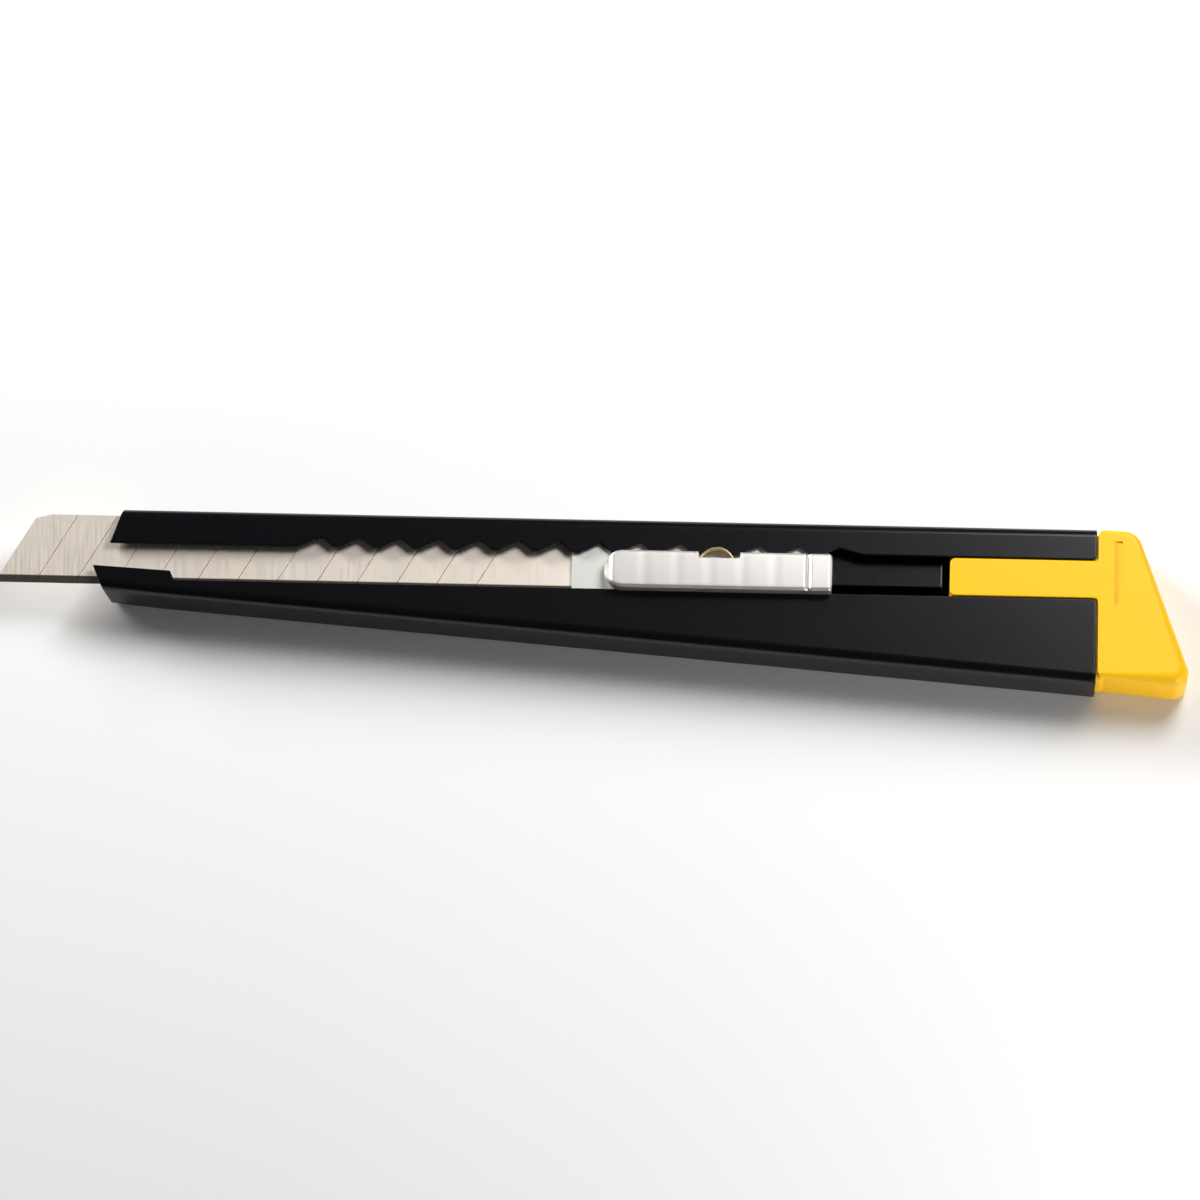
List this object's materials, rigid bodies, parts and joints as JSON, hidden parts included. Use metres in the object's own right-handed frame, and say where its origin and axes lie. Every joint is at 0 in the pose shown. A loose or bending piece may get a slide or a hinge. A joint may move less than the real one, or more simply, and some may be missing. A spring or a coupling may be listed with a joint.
{
  "type": "snap off knife",
  "caption": "Slim snap-off knife: tapered folded steel channel with a notched slot, sliding thumb piece, scored blade and pull-off end cap with a snapping slit.",
  "frame": {"origin": "on the outside of the back, at the middle of the knife's footprint with the blade as far out as it is at rest", "axes": "+X along the knife from the blade's tip to the end cap, +Y from the cutting edge to the blade's back, +Z out of the slot side; the straight top wall and the blade run along X"},
  "size_m": [0.15, 0.0204, 0.009],
  "materials": {
    "body_black": "satin black stoved enamel on sheet steel",
    "cap_yellow": "moulded, semi-gloss",
    "slider_plated": "satin nickel plated pressing",
    "carrier_steel": "plain rolled sheet steel",
    "rivet_steel": "plain",
    "spring_steel": "bright spring strip",
    "blade_steel": "fine ground carbon steel"
  },
  "bodies": {
    "handle": {"body_channel": "body_black"},
    "slider": {"slider_knob": "slider_plated", "blade_carrier": "carrier_steel", "blade_pin": "rivet_steel", "slider_rivets": "rivet_steel", "detent_spring": "spring_steel", "blade_segment_01": "blade_steel", "blade_segment_02": "blade_steel", "blade_segment_03": "blade_steel", "blade_segment_04": "blade_steel", "blade_segment_05": "blade_steel", "blade_segment_06": "blade_steel", "blade_segment_07": "blade_steel", "blade_segment_08": "blade_steel", "blade_segment_09": "blade_steel", "blade_segment_10": "blade_steel", "blade_segment_11": "blade_steel", "blade_segment_12": "blade_steel", "blade_tail": "blade_steel"},
    "cap": {"end_cap": "cap_yellow"}
  },
  "joints": [
    {"name": "blade_slide", "type": "slide", "parent": "handle", "child": "slider", "axis": [-1, 0, 0], "range_m": [-0.0147, 0.05], "deforming": ["detent_spring"]},
    {"name": "cap_pull", "type": "slide", "parent": "handle", "child": "cap", "axis": [1, 0, 0], "range_m": [0, 0.025]}
  ]
}
